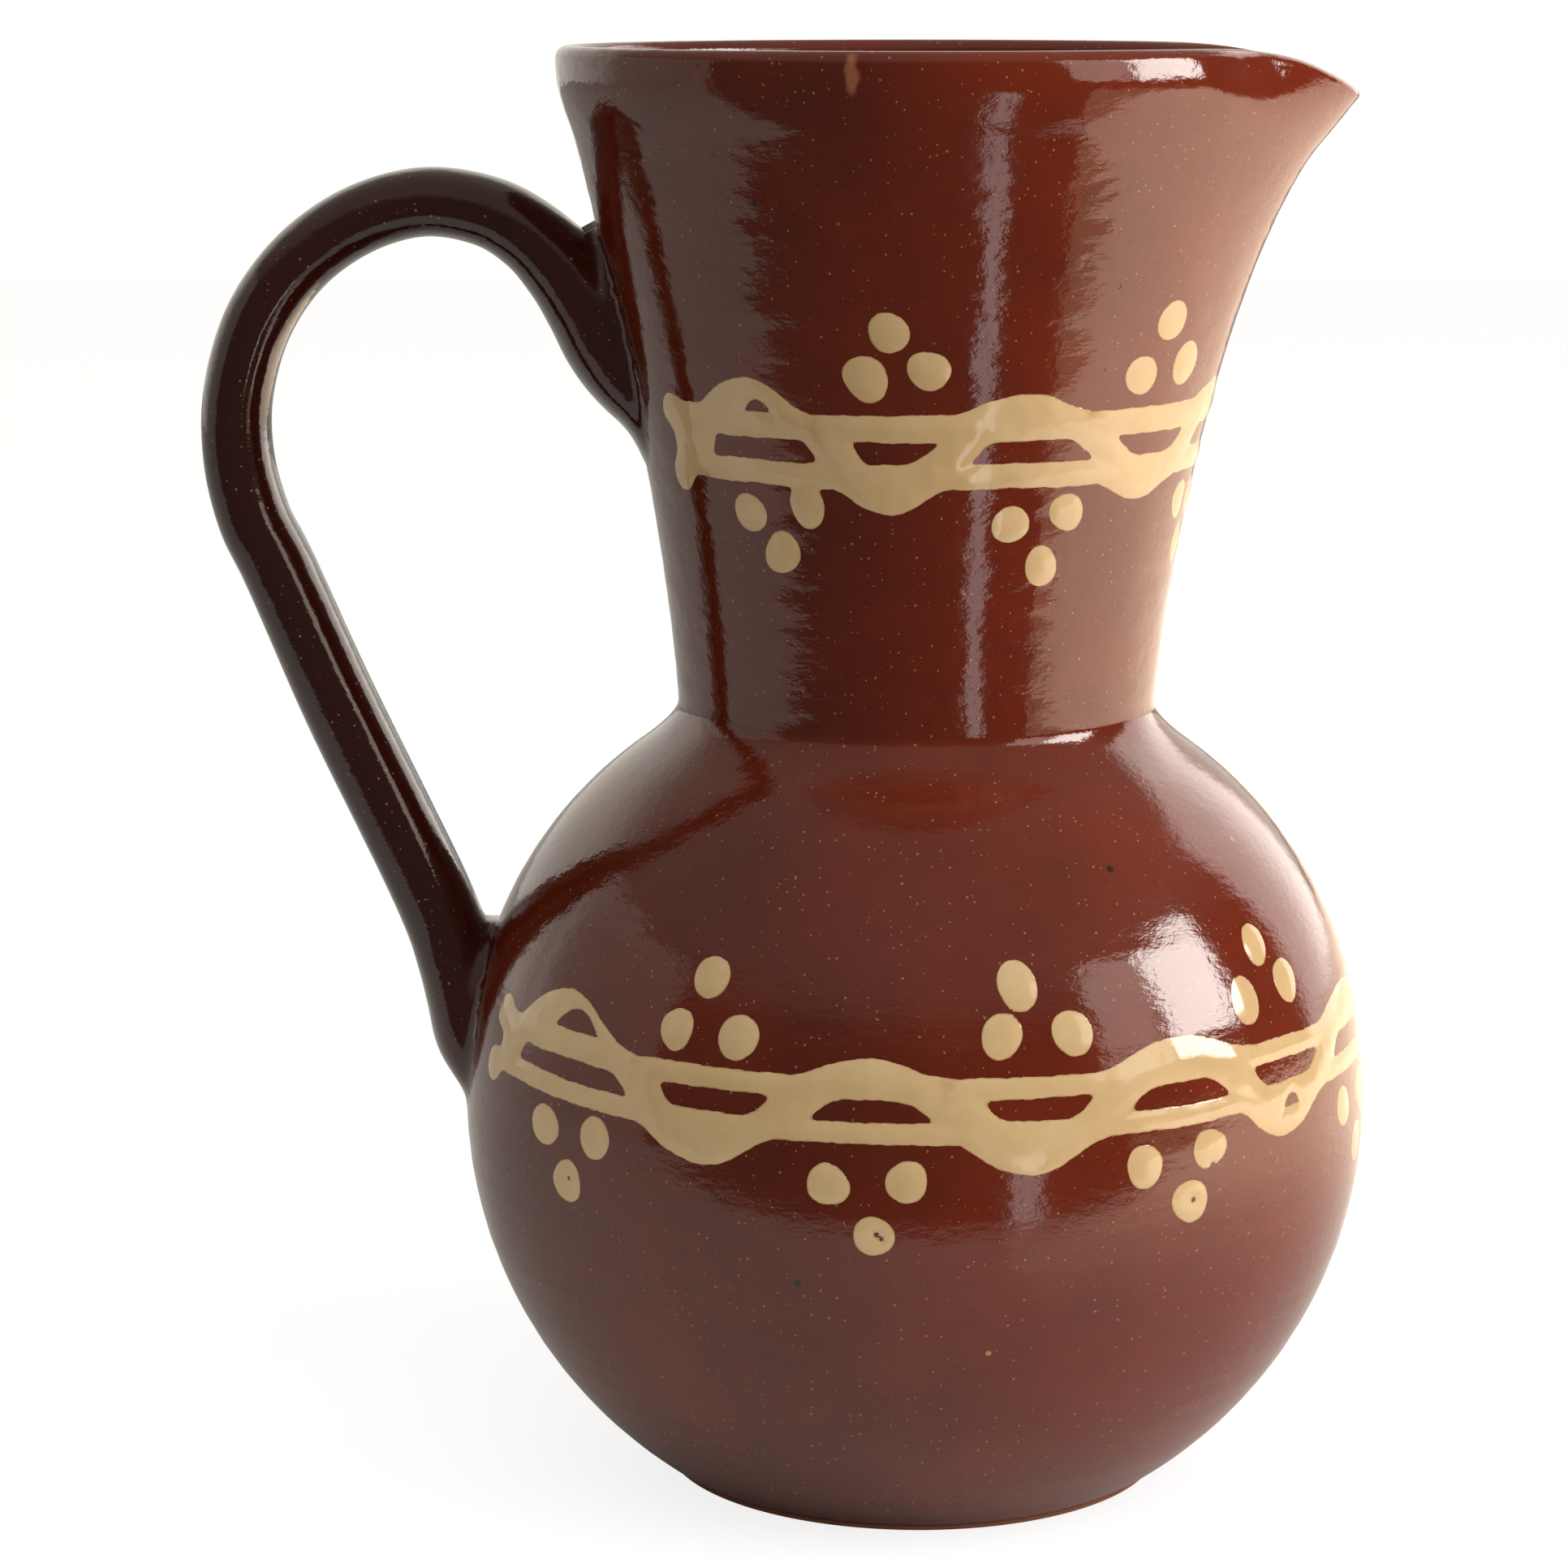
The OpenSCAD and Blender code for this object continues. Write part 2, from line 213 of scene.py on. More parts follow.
# Radius and height of every row, from the heel up, over the lip and down to the floor
def potProfile():
    heel, half = pot["heelRadius"], pot["neckWall"] / 2
    z = np.linspace(heel, pot["lipFoot"], pot["samples"])
    r, z = alongProfile(outerRadius(z), z, pot["rowStep"])
    heelTurn = np.radians([0, 30, 60])
    heelR = outerRadius(heel) - heel * (1 - np.sin(heelTurn)) * pot["heelDepth"]
    heelZ = heel * (1 - np.cos(heelTurn))
    lip = np.radians(np.arange(pot["lipStep"], 180, pot["lipStep"]))
    lipR = r[-1] - half + half * np.cos(lip)
    lipZ = z[-1] + half * np.sin(lip)
    inR, inZ = innerProfile()
    inZ[0], inR[0] = z[-1], r[-1] - pot["neckWall"]
    rings = pot["floorRings"]
    floorR = np.linspace(inR[-1], 0, rings + 2)[1:-1]
    rows = np.concatenate([heelR, r, lipR, inR, floorR])
    heights = np.concatenate([heelZ, z, lipZ, inZ, np.full(rings, inZ[-1])])
    inside = len(heelR) + len(r) + len(lipR)
    return rows, heights, inside


def makePot():
    r, z, inside = potProfile()
    columns = pot["columns"]
    angle = np.arange(columns) / columns * 2 * np.pi - np.pi
    rings = np.zeros((len(r), columns))
    rings[inside:] = pot["innerRings"] * np.sin(z[inside:, None] * pot["innerPace"] + angle[None])
    rings *= (np.clip((pot["innerTop"] - z) / pot["innerTopFade"], 0, 1)[:, None]
              * np.clip(r / pot["innerFloorFade"], 0, 1)[:, None])
    points = potPoint(angle[None], r[:, None] + rings, z[:, None]).reshape(-1, 3)
    faces = ringFaces(len(r), columns)
    last = (len(r) - 1) * columns
    points = np.concatenate([points, [[0, 0, z[0]], [0, 0, z[-1]]]])
    foot, well = len(points) - 2, len(points) - 1
    faces += [[foot, (j + 1) % columns, j] for j in range(columns)]
    faces += [[well, last + j, last + (j + 1) % columns] for j in range(columns)]
    return makeMesh("jugBody", points, faces)


jugBody = makePot()
print("pot thrown,", len(jugBody.data.polygons), "faces")

handle = {
    # along the handle, from the neck down to the belly:
    # x, z, half the thickness, half the width, how far it wraps round the pot (0 to 1)
    "path": [
        [-46.0, 181.4, 0.7, 4.5, 1.0],
        [-47.0, 183.4, 1.5, 8.6, 1.0],
        [-48.3, 186.2, 2.7, 10.6, 1.0],
        [-50.4, 190.3, 4.5, 11.9, 0.9],
        [-52.3, 194.6, 6.0, 12.5, 0.8],
        [-54.3, 199.6, 7.0, 12.6, 0.6],
        [-56.6, 205.4, 7.4, 12.2, 0.4],
        [-60.6, 211.6, 7.1, 11.2, 0.15],
        [-66.6, 217.6, 6.5, 10.2, 0.0],
        [-74.4, 221.8, 6.1, 9.6, 0.0],
        [-85.2, 223.3, 5.9, 9.2, 0.0],
        [-96.6, 220.2, 5.9, 9.0, 0.0],
        [-106.6, 213.2, 5.9, 9.0, 0.0],
        [-113.6, 203.2, 6.0, 9.0, 0.0],
        [-117.25, 191.0, 5.95, 9.0, 0.0],
        [-117.55, 179.5, 6.0, 9.0, 0.0],
        [-115.3, 169.0, 6.2, 9.0, 0.0],
        [-111.2, 160.1, 6.35, 9.0, 0.0],
        [-101.8, 138.6, 6.6, 9.1, 0.0],
        [-92.0, 116.9, 6.65, 9.3, 0.0],
        [-84.0, 99.3, 6.8, 9.9, 0.0],
        [-81.4, 91.0, 6.6, 11.2, 0.4],
        [-80.3, 84.0, 6.0, 12.6, 0.8],
        [-79.8, 77.5, 5.2, 14.0, 1.0],
        [-78.9, 73.0, 4.0, 13.2, 1.0],
        [-78.2, 70.2, 2.3, 10.0, 1.0],
        [-77.8, 68.6, 0.8, 5.0, 1.0],
    ],
    "squareness": 2.25,     # 2 is a plain oval
    "sides": 72,
    "ringStep": 1.0,
    "fillet": 4.2,          # clay smoothed onto the pot
    "meltSteps": 24,
    "hiddenDepth": -2.5,
    "fingerMarks": 0.16,    # slight unevenness, as left by wet fingers pulling the clay
    "fingerRun": 9.0,
    "fingerTwist": 1.3,
    "samples": 3000,
}


# A smooth curve through the stations
def curveThrough(stations, t):
    i = np.clip(np.floor(t).astype(int), 0, len(stations) - 2)
    f = (t - i)[:, None]
    last = len(stations) - 1
    a, b, c, d = (stations[np.clip(i + n, 0, last)] for n in (-1, 0, 1, 2))
    return (2 * b + (c - a) * f + (2 * a - 5 * b + 4 * c - d) * f ** 2
            + (3 * b - 3 * c + d - a) * f ** 3) / 2


# Height over the pot's outer surface, and the direction away from it
def fromPot(points):
    x, y, z = points.T
    rho = np.hypot(x, y)
    reach = 0.4             # the slope is taken this far up and down
    slope = (outerRadius(z + reach) - outerRadius(z - reach)) / (2 * reach)
    steep = 1 / np.hypot(1, slope)
    away = np.stack([x / rho * steep, y / rho * steep, -slope * steep], -1)
    return (rho - outerRadius(z)) * steep, away


def unit(vectors):
    return vectors / np.linalg.norm(vectors, axis=-1, keepdims=True)


# The handle before it was smoothed onto the pot: its surface, the line down its middle
# and where each ring lies along it
def handleGrid():
    path = np.array(handle["path"])
    t = np.linspace(0, len(path) - 1, handle["samples"])
    dense = curveThrough(path, t)
    length = np.concatenate([[0], np.cumsum(np.hypot(*np.diff(dense[:, :2], axis=0).T))])
    count = int(length[-1] / handle["ringStep"])
    far = np.linspace(0, length[-1], count)
    rows = curveThrough(path, np.interp(far, length, t))
    run = unit(np.gradient(rows[:, :2], axis=0))
    x, z, thick, wide, wraps = (rows[:, n:n + 1] for n in range(5))
    turn = np.arange(handle["sides"]) / handle["sides"] * 2 * np.pi
    c, s = np.cos(turn)[None], np.sin(turn)[None]
    power = 2 / handle["squareness"]
    across = thick * (np.sign(c) * np.abs(c) ** power)
    y = wide * (np.sign(s) * np.abs(s) ** power)
    across = across + handle["fingerMarks"] * c * np.sin(
        far[:, None] / handle["fingerRun"] + handle["fingerTwist"] * c)
    wrap = wraps * (np.sqrt(x ** 2 + y ** 2) + x)
    grid = np.stack([x + wrap + run[:, 1:2] * across, y, z - run[:, 0:1] * across], -1)
    middle = np.stack([x + 0 * y, 0 * y, z + 0 * y], -1)
    return grid, middle


def makeHandle():
    grid, middle = handleGrid()
    around = (np.roll(grid, -1, 1) - np.roll(grid, 1, 1)) / 2
    normal = unit(np.cross(np.gradient(grid, axis=0), around))
    flip = np.sum(normal * (grid - middle), -1).mean() < 0
    if flip:
        normal = -normal
    points, normals = grid.reshape(-1, 3), normal.reshape(-1, 3)
    # move out along the normal to the surface of both forms melted together
    k = handle["fillet"]
    low, high = np.zeros(len(points)), np.full(len(points), k)
    for _ in range(handle["meltSteps"]):
        mid = (low + high) / 2
        outside = softMin(fromPot(points + normals * mid[:, None])[0], mid, k) > 0
        high = np.where(outside, mid, high)
        low = np.where(outside, low, mid)
    moved = points + normals * high[:, None]
    over, away = fromPot(moved)
    share = np.clip(0.5 + 0.5 * (high - over) / k, 0, 1)[:, None]
    blended = unit(share * away + (1 - share) * normals)
    # what lies inside the wall needn't go deeper than this
    moved = moved + away * np.maximum(0, handle["hiddenDepth"] - over)[:, None]
    rings, sides = grid.shape[:2]
    moved = np.concatenate([moved, [moved[:sides].mean(0), moved[-sides:].mean(0)]])
    top, bottom, last = len(moved) - 2, len(moved) - 1, (rings - 1) * sides
    faces = ringFaces(rings, sides)
    faces += [[top, (j + 1) % sides, j] for j in range(sides)]
    faces += [[bottom, last + j, last + (j + 1) % sides] for j in range(sides)]
    if not flip:
        faces = [f[::-1] for f in faces]
    piece = makeMesh("jugHandle", moved, faces)
    blended = np.concatenate([blended, -away[:1], -away[-1:]])
    piece.data.normals_split_custom_set_from_vertices(blended.tolist())
    return piece


jugHandle = makeHandle()
print("handle pulled,", len(jugHandle.data.polygons), "faces")

# Angles are in degrees round the pot from the spout, heights in millimetres; the handle
# stands at 180 and the side seen first is at -90.
bellySlip = {
    "low": 77.4, "high": 88.3, "windowLow": 81.3, "windowHigh": 84.3,
    "start": -156.0, "end": 161.0,
    "lift": 1.3,            # the band climbs a little at its start
    # the waving stroke: left foot, middle, right foot, height of the tip
    "waves": [[-151.6, -141.4, -128.9, 95.4], [-126.3, -117.0, -108.8, 71.8],
              [-105.2, -96.5, -88.3, 91.4], [-85.9, -77.6, -69.0, 72.1],
              [-67.6, -56.9, -45.5, 92.3], [-48.0, -40.4, -30.2, 71.8],
              [-28.2, -15.5, -6.0, 91.8], [-6.4, 3.4, 12.0, 72.2], [13.0, 23.5, 33.0, 91.9],
              [34.0, 43.0, 51.5, 71.9], [52.5, 63.0, 72.0, 92.2], [73.0, 83.0, 91.5, 72.3],
              [92.5, 103.0, 112.0, 91.8], [113.0, 123.0, 131.5, 72.0],
              [132.5, 143.0, 152.0, 92.0]],
    # dark windows between the two lines: bottom left, top left, top right, bottom right
    "windows": [[-150.0, -149.2, -131.2, -128.8], [-122.3, -123.8, -109.1, -111.6],
                [-104.3, -101.3, -92.6, -89.2], [-81.3, -83.3, -70.0, -72.6],
                [-65.2, -62.5, -52.9, -50.2], [-43.8, -45.3, -31.0, -33.6],
                [-25.9, -23.4, -13.0, -9.2], [-2.8, -4.4, 10.2, 7.8], [14.6, 17.3, 27.6, 31.0],
                [37.0, 35.6, 49.5, 47.0], [54.3, 56.8, 67.3, 70.6], [77.0, 75.4, 89.4, 87.0],
                [94.4, 97.0, 107.0, 110.4], [117.0, 115.6, 129.4, 127.2],
                [134.2, 137.0, 147.2, 150.4]],
    # half-moon holes under a crest: angle, foot, half length, height
    "moons": [[-139.0, 89.4, 5.4, 2.9], [-38.6, 77.0, 2.1, 1.5], [123.6, 76.6, 1.8, 1.2]],
    # the blunt first and last touch of the trail: angle, height, radius
    "blobs": [[-156.9, 88.2, 3.0], [-157.6, 79.0, 3.3], [161.3, 86.6, 2.6], [162.2, 79.8, 3.0]],
    "drops": [[-119.0, 101.6], [-122.6, 93.1], [-113.9, 93.0], [-78.4, 101.9], [-80.9, 94.4],
              [-71.8, 94.3], [-39.1, 103.0], [-44.6, 95.2], [-34.9, 96.4], [-142.8, 72.9],
              [-133.4, 73.1], [-138.3, 64.5], [-101.7, 70.9], [-92.5, 71.7], [-96.3, 62.6],
              [-63.5, 72.0], [-54.0, 73.2], [-57.0, 65.0], [-24.0, 71.9], [-14.9, 72.1],
              [-17.2, 63.5], [4.2, 102.2], [0.2, 94.8], [8.6, 94.4], [19.3, 72.2], [27.6, 71.8],
              [23.1, 63.9], [43.4, 102.4], [39.2, 94.5], [47.4, 94.8], [58.9, 72.0],
              [67.4, 72.3], [63.3, 64.1], [83.1, 102.1], [79.2, 94.2], [87.6, 94.7],
              [98.6, 71.8], [107.2, 72.1], [103.2, 63.8], [123.2, 102.3], [119.0, 94.7],
              [127.4, 94.4], [138.7, 72.1], [147.2, 71.9], [143.1, 63.6]],
    # angle, height, radius
    "pinholes": [[-96.0, 62.9, 0.2], [-95.4, 62.2, 0.16], [-137.9, 65.1, 0.18],
                 [-56.6, 65.1, 0.25], [-53.6, 70.3, 0.3]],
    "dropRadius": 3.75,
    "gridStep": 0.55,
    "columnStep": 0.4,
    "zRange": [56, 109],
    "seed": 11,
}

neckSlip = {
    "low": 178.9, "high": 191.8, "windowLow": 183.7, "windowHigh": 186.8,
    "start": -149.0, "end": 150.0,
    "lift": 0.6,
    "waves": [[-138.6, -125.3, -113.2, 197.4], [-107.6, -96.7, -86.0, 174.7],
              [-83.8, -70.0, -57.2, 195.3], [-51.2, -39.6, -27.0, 175.5],
              [-23.4, -10.5, 1.5, 195.0], [3.5, 15.0, 26.5, 175.2], [31.0, 44.0, 56.5, 195.2],
              [60.5, 72.0, 83.0, 175.0], [87.0, 100.0, 112.5, 195.3],
              [116.0, 127.0, 138.0, 175.4]],
    "windows": [[-135.9, -134.6, -114.5, -111.9], [-101.9, -104.1, -88.0, -92.4],
                [-80.6, -77.8, -60.4, -55.3], [-43.6, -48.4, -26.4, -31.0],
                [-19.6, -16.4, -2.4, 1.6], [10.2, 7.4, 24.6, 21.0], [34.2, 37.2, 51.4, 55.8],
                [65.8, 63.2, 80.0, 76.4], [90.2, 93.4, 107.6, 111.6],
                [121.6, 119.2, 135.6, 132.4]],
    "moons": [[-123.8, 191.7, 2.2, 1.5]],
    "blobs": [[-148.7, 190.3, 2.9], [-147.6, 179.6, 3.2], [150.4, 189.4, 2.6],
              [149.6, 181.0, 3.1]],
    "drops": [[-96.9, 205.2], [-101.3, 197.6], [-89.7, 199.0], [-38.5, 205.7], [-44.8, 196.9],
              [-31.0, 198.2], [-128.3, 174.3], [-114.5, 176.0], [-121.1, 167.9], [-72.3, 173.2],
              [-59.6, 174.8], [-64.6, 165.9], [-13.9, 166.3], [-19.4, 174.2], [-7.6, 174.0],
              [16.2, 205.6], [9.8, 198.2], [22.3, 197.8], [38.2, 174.2], [50.4, 173.8],
              [44.3, 166.2], [72.3, 205.4], [65.7, 197.9], [78.2, 198.3], [93.9, 173.8],
              [106.3, 174.3], [100.2, 166.1], [127.2, 205.2], [120.8, 198.0], [133.2, 197.6]],
    "pinholes": [],
    "dropRadius": 3.65,
    "gridStep": 0.5,
    "columnStep": 0.6,
    "zRange": [158, 213],
    "seed": 23,
}

slipCoat = {
    "raise": 0.28,          # how proud it stands
    "edge": 1.6,            # how far in from its edge it reaches that
    "roundness": 1.4,
    "sunk": 0.03,           # its edge lies a little in the glaze
    "under": 0.15,          # and its underside more
    "uneven": 0.12,
    "unevenRun": 9.0,
    "unevenStretch": 0.6,
    "wobble": 0.13,
    "wobbleRun": 13.0,
    "tremble": 0.035,
    "trembleRun": 3.5,
    "merge": 1.3,           # how softly neighbouring strokes run together
    "blobMerge": 2.6,
    "corner": 1.4,          # rounding of the windows' corners
    "moonCorner": 0.5,
    "moonWobble": 0.5,
    "endCorner": 2.0,
    "climbRun": 30.0,       # degrees the band takes to come down from its start
    "climbMost": 1.2,
    "climbCurve": 1.5,
    # a crest's right flank runs straight down into the line
    "flankSlope": 1.35,
    "flankCurve": 1.15,
    "flankKink": 0.4,
    "footSlope": 2.0,
    "footReach": 1.4,
    # the stroke was dragged at the flank's foot: how far below the line's top the smear
    # lies, half its length, how far aside, its width and where it thins out
    "smearDrop": 3.0,
    "smearHalf": 2.6,
    "smearAside": 0.8,
    "smearWidth": 1.5,
    "smearRun": 7.0,
    # random shares of a drop's radius
    "dropSize": (-0.07, 0.09),
    "dropOval": (0.02, 0.08),
    "dropEgg": (0.01, 0.045),
    "dropReach": 2.2,
    "margin": 9.0,          # degrees of grid beyond the band's ends
    "cutShare": (0.02, 0.98),
    "edgeLimit": 5.0,
}


# A gentle seeded waver, made of a few sines; calm brings it down to about one high
def waver(x, y, seed, size, sines=7, calm=2.6):
    draw = np.random.default_rng(seed)
    total = np.zeros(np.broadcast(x, y).shape)
    for _ in range(sines):
        fx, fy = draw.normal(0, 1 / size, 2)
        total += np.sin(x * fx * 2 * np.pi + y * fy * 2 * np.pi + draw.uniform(0, 6.28))
    return total / calm


# The band's lower and upper edge with the waving stroke, and where the stroke was smeared;
# along turns degrees round the pot into millimetres
def bandEdges(band, along, u, z):
    coat = slipCoat
    low = np.full_like(u, band["low"])
    high = np.full_like(u, band["high"])
    smear = np.zeros_like(u)
    for leftFoot, middle, rightFoot, tip in band["waves"]:
        off = u - along(middle)
        before, after = along(middle) - along(leftFoot), along(rightFoot) - along(middle)
        share = np.clip(np.abs(off) / np.where(off < 0, before, after), 0, coat["footReach"])
        flank = coat["flankSlope"] * np.clip(1 - share, 0, 1) ** coat["flankCurve"]
        flank = np.where(share < 1, flank, coat["footSlope"] * (1 - share))
        right = softMin(np.ones_like(flank), flank, coat["flankKink"])
        bump = np.where(off < 0, 1 - share ** 2, right)
        if tip > band["high"]:
            high = softMax(high, band["high"] + (tip - band["high"]) * bump, coat["merge"])
            over = z - band["high"]
            across = np.hypot(
                np.clip(np.abs(over + coat["smearDrop"]) - coat["smearHalf"], 0, None),
                u - along(rightFoot) - coat["smearAside"])
            taper = np.clip((over + coat["smearRun"]) / coat["smearRun"], 0, 1)
            smear = np.maximum(smear, taper * np.exp(-(across / coat["smearWidth"]) ** 2))
        else:
            low = softMin(low, band["low"] + (tip - band["low"]) * bump, coat["merge"])
    return low, high, smear


# Takes the windows and the half-moons out of the slip
def openWindows(band, along, u, z, shift, depth):
    corner = slipCoat["corner"]
    bottom, top = band["windowLow"], band["windowHigh"]
    up = (z - bottom) / (top - bottom)
    for corners in band["windows"]:
        a, b, c, d = along(np.array(corners))
        left = (u - a - (b - a) * up) / math.hypot(1, (b - a) / (top - bottom))
        right = (d + (c - d) * up - u) / math.hypot(1, (c - d) / (top - bottom))
        sides = softMin(left, right, corner)
        hole = softMin(sides, softMin(z - bottom, top - z, corner), corner)
        depth = np.minimum(depth, -hole - shift)
    for middle, foot, half, tall in band["moons"]:
        share = (u - along(middle)) / half
        arch = foot + tall * (1 - share ** 2) - z
        moon = softMin(z - foot, arch, slipCoat["moonCorner"])
        depth = np.minimum(depth, -moon - shift * slipCoat["moonWobble"])
    return depth


# Adds the drops, each a little out of round
def layDrops(band, along, u, height, depth):
    coat = slipCoat
    draw = np.random.default_rng(band["seed"] + 9)
    for middle, spot in band["drops"]:
        size = band["dropRadius"] * (1 + draw.uniform(*coat["dropSize"]))
        oval, egg = draw.uniform(*coat["dropOval"]), draw.uniform(*coat["dropEgg"])
        lean, tip = draw.uniform(0, 2 * math.pi, 2)
        du, dz = u - along(middle), height - spot
        turn = np.arctan2(dz, du)
        outline = size * (1 + oval * np.cos(2 * (turn - lean)) + egg * np.cos(3 * (turn - tip)))
        away = np.hypot(du, dz)
        joined = softMax(depth, outline - away, coat["merge"])
        depth = np.where(away < coat["dropReach"] * size, joined, depth)
    return depth


# How far each spot lies inside the slip, in millimetres, and where the trail was smeared
def slipDepth(band, angle, height):
    coat, seed = slipCoat, band["seed"]
    radius = float(outerRadius((band["low"] + band["high"]) / 2))

    def along(degrees):
        return np.radians(degrees) * radius

    u = along(angle)
    early = (band["start"] + coat["climbRun"] - angle) / coat["climbRun"]
    z = height - band["lift"] * np.clip(early, 0, coat["climbMost"]) ** coat["climbCurve"]
    shift = (waver(u, z, seed, coat["wobbleRun"]) * coat["wobble"]
             + waver(u, z, seed + 1, coat["trembleRun"]) * coat["tremble"])
    low, high, smear = bandEdges(band, along, u, z)
    depth = softMin(z + shift - low, high - z + shift, coat["merge"])
    depth = openWindows(band, along, u, z, shift, depth)
    depth = softMin(depth, u - along(band["start"]), coat["endCorner"])
    depth = softMin(depth, along(band["end"]) - u, coat["endCorner"])
    for middle, spot, size in band["blobs"]:
        blob = size - np.hypot(u - along(middle), height - spot) + shift
        depth = softMax(depth, blob, coat["blobMerge"])
    depth = layDrops(band, along, u, height, depth)
    for middle, spot, size in band["pinholes"]:
        depth = np.minimum(depth, np.hypot(u - along(middle), height - spot) - size)
    return depth, smear


# The pot's surface with its outward normal, at an angle in degrees and a height
def potSurface(angle, z):
    a = np.radians(angle)
    aside, over = 0.002, 0.2    # steps for the slope, in radians and millimetres
    here = potPoint(a, outerRadius(z), z)
    right = potPoint(a + aside, outerRadius(z), z) - potPoint(a - aside, outerRadius(z), z)
    up = potPoint(a, outerRadius(z + over), z + over) - potPoint(
        a, outerRadius(z - over), z - over)
    return here, unit(np.cross(right, up))


# Cuts the triangles along the slip's edge. Each spot is angle, height, depth and smear;
# the rim is the pairs of spots that lie along the cut.
def trimToSlip(spots, triangles):
    depth = spots[:, 2]
    added, cutAt = [], {}

    def cut(i, j):
        key = (i, j) if i < j else (j, i)
        if key not in cutAt:
            nearest, farthest = slipCoat["cutShare"]
            share = min(max(depth[i] / (depth[i] - depth[j]), nearest), farthest)
            cutAt[key] = len(spots) + len(added)
            added.append(spots[i] + (spots[j] - spots[i]) * share)
        return cutAt[key]

    inside = depth[triangles] > 0
    total = inside.sum(1)
    mixed = (total > 0) & (total < 3)
    faces, rim = triangles[total == 3].tolist(), []
    for corners, kept, number in zip(triangles[mixed].tolist(), inside[mixed].tolist(),
                                     total[mixed].tolist()):
        turn = kept.index(number == 1)
        i, j, k = corners[turn], corners[(turn + 1) % 3], corners[(turn + 2) % 3]
        ij, ik = cut(i, j), cut(i, k)
        if number == 1:
            faces.append([i, ij, ik])
            rim.append((ij, ik))
        else:
            faces += [[ij, j, k], [ij, k, ik]]
            rim.append((ik, ij))
    cutSpots = np.array(added)
    cutSpots[:, 2] = 0
    spots = np.concatenate([spots, cutSpots])
    # drop the spots that no face uses
    used = np.unique(np.array(faces))
    number = np.full(len(spots), -1)
    number[used] = np.arange(len(used))
    return spots[used], number[np.array(faces)], number[np.array(rim)]


def makeSlip(name, band):
    coat = slipCoat
    angles = np.arange(band["start"] - coat["margin"], band["end"] + coat["margin"],
                       band["columnStep"])
    heights = np.arange(*band["zRange"], band["gridStep"])
    a, z = np.meshgrid(angles, heights, indexing="ij")
    depth, smear = slipDepth(band, a, z)
    index = np.arange(a.size).reshape(a.shape)
    p, q, r, s = index[:-1, :-1], index[1:, :-1], index[1:, 1:], index[:-1, 1:]
    triangles = np.concatenate([np.stack([p, q, r], -1).reshape(-1, 3),
                                np.stack([p, r, s], -1).reshape(-1, 3)])
    spots = np.stack([a.ravel(), z.ravel(), depth.ravel(), smear.ravel()], -1)
    spots, faces, rim = trimToSlip(spots, triangles)
    here, normal = potSurface(spots[:, 0], spots[:, 1])
    inward = np.clip(spots[:, 2], 0, None) / coat["edge"]
    rise = coat["raise"] * (1 - np.exp(-inward ** coat["roundness"]))
    rise *= 1 + coat["uneven"] * waver(
        spots[:, 0], spots[:, 1] * coat["unevenStretch"], band["seed"] + 3, coat["unevenRun"])
    top = here + normal * (rise - coat["sunk"])[:, None]
    bottom = here - normal * coat["under"]
    size = len(top)
    allFaces = np.concatenate([faces, faces[:, ::-1] + size]).tolist()
    allFaces += [[int(j), int(i), int(i) + size, int(j) + size] for i, j in rim]
    piece = makeMesh(name, np.concatenate([top, bottom]), allFaces)
    for label, values in (("edgeDistance", np.clip(spots[:, 2], 0, coat["edgeLimit"])),
                          ("smear", spots[:, 3])):
        store = piece.data.attributes.new(label, "FLOAT", "POINT")
        store.data.foreach_set("value", np.tile(values, 2).astype(np.float32))
    return piece


bellyBand = makeSlip("bellySlip", bellySlip)
neckBand = makeSlip("neckSlip", neckSlip)
print("slip trailed,", len(bellyBand.data.polygons), "and", len(neckBand.data.polygons), "faces")

noiseRange = (0.3, 0.7)     # where most of a noise's values lie

# what all the glazed surfaces share; noise sizes are turns per metre
glazeSkin = {
    "slow": (95, 95, 150),
    "wide": (420, 420, 760),
    "fine": 1500,
    "pits": (95, 0.05, 0.03),
    # the thrown neck is less even than the smoothed belly: heights in metres, share below
    "neckFrom": 0.125, "neckTo": 0.145, "bellyShare": 0.22,
    "glossPatches": 60,
    "roughness": (0.05, 0.11),
    "ior": 1.6,
}

